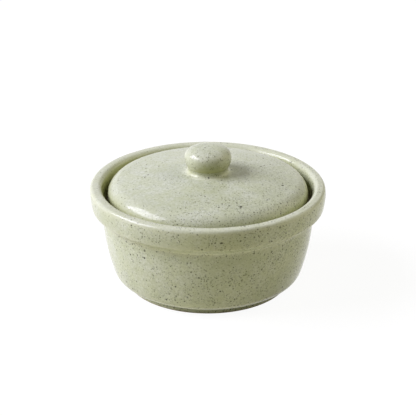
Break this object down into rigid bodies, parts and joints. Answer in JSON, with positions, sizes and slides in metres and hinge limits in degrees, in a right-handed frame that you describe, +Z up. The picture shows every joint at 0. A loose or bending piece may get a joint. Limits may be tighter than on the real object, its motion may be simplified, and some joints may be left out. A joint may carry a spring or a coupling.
{
  "type": "mini casserole dish",
  "caption": "Small round stoneware baking dish with a thick collar and an inset domed lid with a bun-shaped knob, in speckled sage-green glaze.",
  "frame": {"origin": "on the table, under the middle of the dish", "axes": "+Z up along the axis of the dish, lid and knob; +X to the right and +Y away in the picture"},
  "size_m": [0.135, 0.135, 0.0824],
  "materials": {
    "dish_glaze": "gloss speckled reactive glaze over buff stoneware, bare clay under the foot ring and on the lid's ledge",
    "lid_glaze": "gloss speckled reactive glaze over buff stoneware, bare clay on the lid's seat"
  },
  "bodies": {
    "dish": {"dish_body": "dish_glaze"},
    "lid": {"lid": "lid_glaze", "lid_knob": "lid_glaze"}
  },
  "joints": [
    {"name": "lid_lift", "type": "slide", "parent": "dish", "child": "lid", "axis": [0, 0, 1], "range_m": [0, 0.06]}
  ]
}
